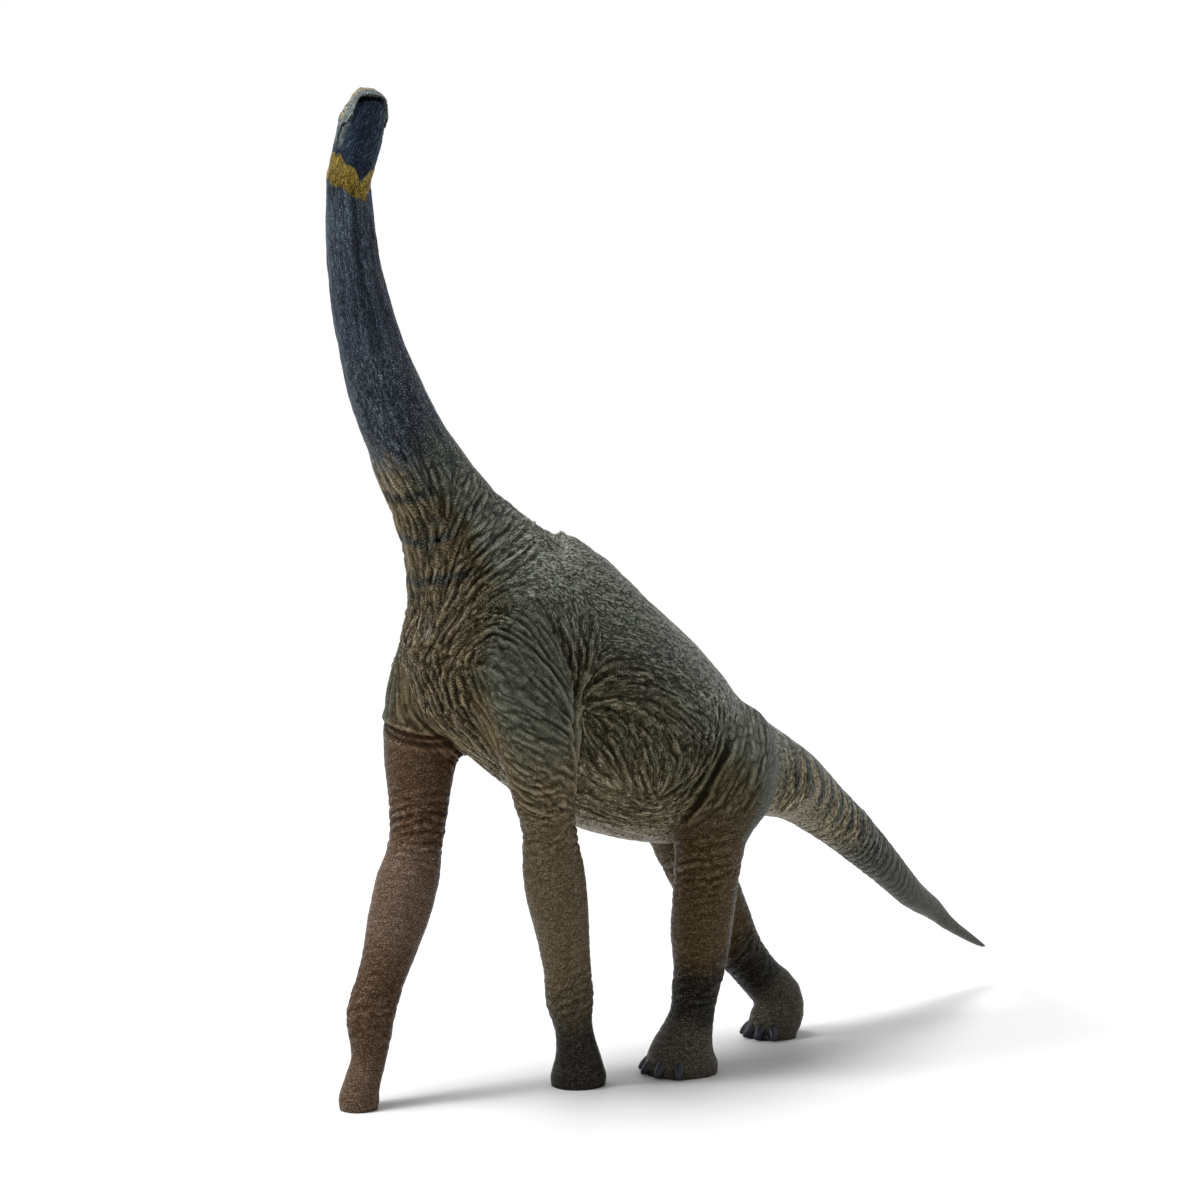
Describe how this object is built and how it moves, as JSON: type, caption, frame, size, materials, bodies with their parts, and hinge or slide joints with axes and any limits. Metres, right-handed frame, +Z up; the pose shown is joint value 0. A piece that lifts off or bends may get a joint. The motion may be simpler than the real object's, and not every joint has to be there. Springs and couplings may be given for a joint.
{
  "type": "toy dinosaur figure",
  "caption": "Walking long-necked sauropod figure in painted vinyl, head raised and turned to its left, mouth a little open on a hinged lower jaw.",
  "frame": {"origin": "on the ground, under the middle of the figure's box", "axes": "+X the animal's forward, +Y its left, +Z up"},
  "size_m": [0.3638, 0.074, 0.335],
  "materials": {
    "hide_back": "painted green-grey, pebbled, satin",
    "hide_foreleg": "painted red-brown, pebbled, satin",
    "hide_leg": "painted brown-grey fading to dark feet, wrinkled, satin",
    "hide_neck_base": "painted beige-grey with dark bars, wrinkled, satin",
    "hide_neck": "painted navy, pebbled, satin, ochre band at the throat",
    "hide_tail": "painted beige with dark cross bars, satin",
    "steel_rod": "bright drawn wire"
  },
  "bodies": {
    "figure": {"torso_left_shell": "hide_back", "torso_right_shell": "hide_back", "front_left_leg": "hide_leg", "front_right_leg": "hide_foreleg", "hind_left_leg": "hide_leg", "hind_right_leg": "hide_leg", "neck_base": "hide_neck_base", "neck_upper": "hide_neck", "neck_core_rod": "steel_rod", "head": "hide_neck", "jaw_pin": "steel_rod", "tail_base": "hide_tail", "tail_core_rod": "steel_rod", "tail_tip": "hide_tail"},
    "jaw": {"lower_jaw": "hide_neck"}
  },
  "joints": [
    {"name": "jaw_hinge", "type": "hinge", "parent": "figure", "child": "jaw", "pos_m": [0.17457, 0.01356, 0.32133], "axis": [-0.9825, 0.1856, 0.015], "range_deg": [-11, 9]}
  ]
}
